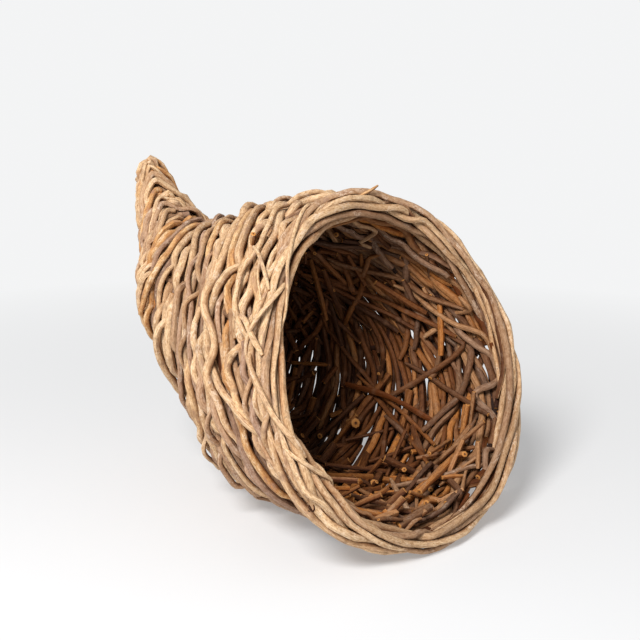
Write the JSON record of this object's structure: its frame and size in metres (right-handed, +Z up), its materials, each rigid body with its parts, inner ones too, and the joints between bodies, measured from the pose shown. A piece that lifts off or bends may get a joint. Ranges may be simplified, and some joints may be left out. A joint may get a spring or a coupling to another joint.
{
  "type": "cornucopia basket",
  "caption": "Horn-shaped basket woven from round rods, lying on its belly, with a twisted rim round the mouth and a tail bound in a coil that curls up.",
  "frame": {"origin": "on the table under the middle of the basket's box", "axes": "+Z up, the mouth faces -Y and the tail points to +Y"},
  "size_m": [0.3062, 0.4074, 0.2928],
  "materials": {
    "stakes": "matt bark",
    "weavers": "matt bark",
    "packing": "matt bark",
    "rim": "matt bark",
    "binding": "matt bark"
  },
  "bodies": {
    "root": {"packing_rod_01": "packing", "packing_rod_02": "packing", "packing_rod_03": "packing", "packing_rod_04": "packing", "packing_rod_05": "packing", "packing_rod_06": "packing", "packing_rod_07": "packing", "packing_rod_08": "packing", "packing_rod_09": "packing", "packing_rod_10": "packing", "packing_rod_11": "packing", "packing_rod_12": "packing", "packing_rod_13": "packing", "packing_rod_14": "packing", "rim_hoop_inner": "rim", "rim_hoop_outer": "rim", "rim_strand_1": "rim", "rim_strand_2": "rim", "rim_strand_3": "rim", "rim_strand_4": "rim", "rim_strand_5": "rim", "stake_01": "stakes", "stake_02": "stakes", "stake_03": "stakes", "stake_04": "stakes", "stake_05": "stakes", "stake_06": "stakes", "stake_07": "stakes", "stake_08": "stakes", "stake_09": "stakes", "stake_10": "stakes", "stake_11": "stakes", "tail_binding_1": "binding", "tail_binding_2": "binding", "tail_binding_3": "binding", "weaver_01": "weavers", "weaver_02": "weavers", "weaver_03": "weavers", "weaver_04": "weavers", "weaver_05": "weavers", "weaver_06": "weavers", "weaver_07": "weavers", "weaver_08": "weavers", "weaver_09": "weavers"}
  },
  "joints": []
}
